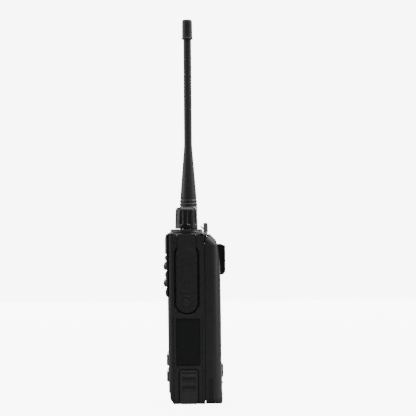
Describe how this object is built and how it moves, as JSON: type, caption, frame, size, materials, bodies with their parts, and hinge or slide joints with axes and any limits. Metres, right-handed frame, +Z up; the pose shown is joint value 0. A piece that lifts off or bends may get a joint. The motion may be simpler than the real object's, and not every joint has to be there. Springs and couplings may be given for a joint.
{
  "type": "two way radio",
  "caption": "Hand-held two way radio with a whip antenna, volume knob, keys, hinged accessory cover, side latches and a swing-off battery pack with a belt clip rail.",
  "frame": {"origin": "on the base plane that the radio stands on, in the middle of its width and close under the antenna and knob axes", "axes": "+Z up along the antenna, -Y out of the front with the keys, +Y out of the battery's back, +X out of the side with the accessory sockets"},
  "size_m": [0.0576, 0.0438, 0.273],
  "materials": {
    "case_plastic": "fine moulded grain, satin black",
    "battery_plastic": "fine moulded grain, satin black",
    "trim_plastic": "smooth semi-gloss black",
    "knob_plastic": "smooth semi-gloss black",
    "antenna_rubber": "smooth over-moulded elastomer",
    "cover_rubber": "matt elastomer",
    "key_plastic": "glossy black",
    "key_orange": "semi-gloss orange",
    "foot_rubber": "matt",
    "window": "clear hard-coated",
    "display": "dark reflective display",
    "lens": "frosted clear",
    "chassis_metal": "die cast",
    "steel": "plated",
    "dark_steel": "black plated",
    "brass": "turned",
    "gold_contacts": "gold plated",
    "circuit_board": "solder mask",
    "seal_rubber": "matt silicone",
    "inner_plastic": "moulded",
    "cell_wrap": "shrink wrap",
    "speaker_cone": "paper cone in a steel frame",
    "loop_metal": "satin grey coated zinc"
  },
  "bodies": {
    "radio": {"front_case": "case_plastic", "upper_trim": "trim_plastic", "top_cover": "case_plastic", "rear_chassis": "chassis_metal", "case_seal": "seal_rubber", "chassis_screws": "steel", "board_screws": "steel", "antenna_socket": "brass", "volume_switch": "steel", "display_window": "window", "display_module": "display", "upper_key_mat": "seal_rubber", "lower_key_mat": "seal_rubber", "speaker": "speaker_cone", "microphone": "steel", "main_board": "circuit_board", "rf_shields": "steel", "contact_block": "inner_plastic", "radio_contacts": "gold_contacts", "status_led_lens": "lens", "side_switch_board": "circuit_board", "jack_cover_pin": "steel", "cover_insert": "brass", "jack_block": "inner_plastic", "latch_spring_left": "steel", "latch_spring_right": "steel", "catches": "steel", "strap_loop": "loop_metal"},
    "antenna": {"antenna_stud": "brass", "antenna_core": "steel", "antenna_sleeve": "antenna_rubber", "antenna_cap": "antenna_rubber"},
    "volume_control": {"volume_knob": "knob_plastic", "volume_shaft": "steel"},
    "jack_cover": {"jack_cover": "cover_rubber"},
    "cover_screw": {"jack_cover_screw": "dark_steel"},
    "ptt_button": {"ptt_button": "cover_rubber"},
    "side_key_upper": {"side_key_upper": "cover_rubber"},
    "side_key_lower": {"side_key_lower": "cover_rubber"},
    "latch_left": {"latch_left": "case_plastic"},
    "latch_right": {"latch_right": "case_plastic"},
    "battery": {"battery_case": "battery_plastic", "battery_inner_cover": "battery_plastic", "battery_cells": "cell_wrap", "battery_board": "circuit_board", "battery_terminals": "gold_contacts", "charge_contacts": "gold_contacts", "battery_foot": "foot_rubber", "clip_rail": "trim_plastic", "clip_rail_screws": "dark_steel"},
    "key_up": {"key_up": "key_plastic"},
    "key_down": {"key_down": "key_plastic"},
    "key_menu": {"key_menu": "key_plastic"},
    "key_back": {"key_back": "key_plastic"},
    "lower_key_1": {"lower_key_1": "key_plastic"},
    "lower_key_2": {"lower_key_2": "key_plastic"},
    "lower_key_3": {"lower_key_3": "key_plastic"},
    "lower_key_4": {"lower_key_4": "key_plastic"},
    "lower_key_5": {"lower_key_5": "key_plastic"},
    "key_emergency": {"key_emergency": "key_orange"}
  },
  "joints": [
    {"name": "antenna_turn", "type": "hinge", "parent": "radio", "child": "antenna", "pos_m": [-0.013, -0.004, 0.12], "axis": [0, 0, 1], "range_deg": [0, 1440]},
    {"name": "volume_turn", "type": "hinge", "parent": "radio", "child": "volume_control", "pos_m": [0.014, -0.0053, 0.12], "axis": [0, 0, -1], "range_deg": [0, 270]},
    {"name": "jack_cover_swing", "type": "hinge", "parent": "radio", "child": "jack_cover", "pos_m": [0.0256, -0.0053, 0.1183], "axis": [0, -1, 0], "range_deg": [0, 100]},
    {"name": "cover_screw_turn", "type": "hinge", "parent": "jack_cover", "child": "cover_screw", "pos_m": [0.0273, -0.0053, 0.0715], "axis": [1, 0, 0], "range_deg": [0, 1440]},
    {"name": "ptt_press", "type": "slide", "parent": "radio", "child": "ptt_button", "axis": [1, 0, 0], "range_m": [0, 0.0012], "stiffness_N_per_m": 1200, "springref_m": -0.0006},
    {"name": "side_key_upper_press", "type": "slide", "parent": "radio", "child": "side_key_upper", "axis": [1, 0, 0], "range_m": [0, 0.0006], "stiffness_N_per_m": 1500, "springref_m": -0.0005},
    {"name": "side_key_lower_press", "type": "slide", "parent": "radio", "child": "side_key_lower", "axis": [1, 0, 0], "range_m": [0, 0.0006], "stiffness_N_per_m": 1500, "springref_m": -0.0005},
    {"name": "key_up_press", "type": "slide", "parent": "radio", "child": "key_up", "axis": [0, 1, 0], "range_m": [0, 0.0005], "stiffness_N_per_m": 1500, "springref_m": -0.0005},
    {"name": "key_down_press", "type": "slide", "parent": "radio", "child": "key_down", "axis": [0, 1, 0], "range_m": [0, 0.0005], "stiffness_N_per_m": 1500, "springref_m": -0.0005},
    {"name": "key_menu_press", "type": "slide", "parent": "radio", "child": "key_menu", "axis": [0, 1, 0], "range_m": [0, 0.0005], "stiffness_N_per_m": 1500, "springref_m": -0.0005},
    {"name": "key_back_press", "type": "slide", "parent": "radio", "child": "key_back", "axis": [0, 1, 0], "range_m": [0, 0.0005], "stiffness_N_per_m": 1500, "springref_m": -0.0005},
    {"name": "lower_key_1_press", "type": "slide", "parent": "radio", "child": "lower_key_1", "axis": [0, 1, 0], "range_m": [0, 0.0005], "stiffness_N_per_m": 1500, "springref_m": -0.0005},
    {"name": "lower_key_2_press", "type": "slide", "parent": "radio", "child": "lower_key_2", "axis": [0, 1, 0], "range_m": [0, 0.0005], "stiffness_N_per_m": 1500, "springref_m": -0.0005},
    {"name": "lower_key_3_press", "type": "slide", "parent": "radio", "child": "lower_key_3", "axis": [0, 1, 0], "range_m": [0, 0.0005], "stiffness_N_per_m": 1500, "springref_m": -0.0005},
    {"name": "lower_key_4_press", "type": "slide", "parent": "radio", "child": "lower_key_4", "axis": [0, 1, 0], "range_m": [0, 0.0005], "stiffness_N_per_m": 1500, "springref_m": -0.0005},
    {"name": "lower_key_5_press", "type": "slide", "parent": "radio", "child": "lower_key_5", "axis": [0, 1, 0], "range_m": [0, 0.0005], "stiffness_N_per_m": 1500, "springref_m": -0.0005},
    {"name": "key_emergency_press", "type": "slide", "parent": "radio", "child": "key_emergency", "axis": [0, 1, 0], "range_m": [0, 0.0005], "stiffness_N_per_m": 1500, "springref_m": -0.0005},
    {"name": "latch_left_slide", "type": "slide", "parent": "radio", "child": "latch_left", "axis": [0, 0, -1], "range_m": [0, 0.0025], "stiffness_N_per_m": 400, "springref_m": -0.002, "deforming": ["latch_spring_left"]},
    {"name": "latch_right_slide", "type": "slide", "parent": "radio", "child": "latch_right", "axis": [0, 0, -1], "range_m": [0, 0.0025], "stiffness_N_per_m": 400, "springref_m": -0.002, "deforming": ["latch_spring_right"]},
    {"name": "battery_swing", "type": "hinge", "parent": "radio", "child": "battery", "pos_m": [0, 0.0108, 0.1182], "axis": [1, 0, 0], "range_deg": [0, 25], "deforming": ["catches"]}
  ]
}
